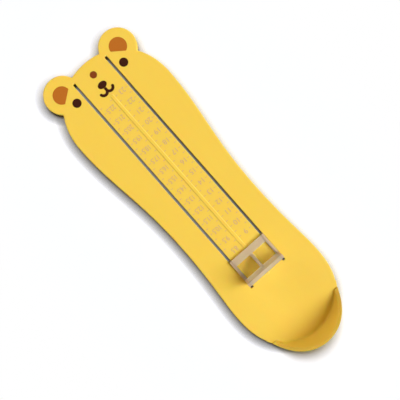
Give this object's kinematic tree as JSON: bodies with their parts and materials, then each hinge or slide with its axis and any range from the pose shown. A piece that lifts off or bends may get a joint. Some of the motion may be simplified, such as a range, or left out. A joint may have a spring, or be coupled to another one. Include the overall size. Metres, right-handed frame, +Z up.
{
  "type": "foot measuring device",
  "caption": "Flat child's foot gauge with a bear-shaped toe end, a raised heel cup, a printed centimetre scale and a clear slider that runs in two long slots.",
  "frame": {"origin": "centre of the gauge's bounding box at the table's height", "axes": "+Y from the heel cup to the bear's head along the scale, +X to the side that carries the whole centimetres, +Z up from the table"},
  "size_m": [0.0892, 0.2788, 0.031],
  "materials": {
    "shell_yellow": "smooth moulded, soft sheen",
    "slider_clear": "translucent frosted",
    "ear_ink": "printed",
    "brow_ink": "printed",
    "face_ink": "printed",
    "scale_ink": "printed"
  },
  "bodies": {
    "base": {"base_shell": "shell_yellow", "ear_patch_left": "ear_ink", "ear_patch_right": "ear_ink", "brow_spot": "brow_ink", "eye_left": "face_ink", "eye_right": "face_ink", "nose": "face_ink", "mouth": "face_ink", "reading_marks": "scale_ink", "half_marks": "scale_ink"},
    "slider": {"slider_frame": "slider_clear", "slider_keeper": "slider_clear"}
  },
  "joints": [
    {"name": "slider_travel", "type": "slide", "parent": "base", "child": "slider", "axis": [0, 1, 0], "range_m": [-0.004, 0.177]}
  ]
}
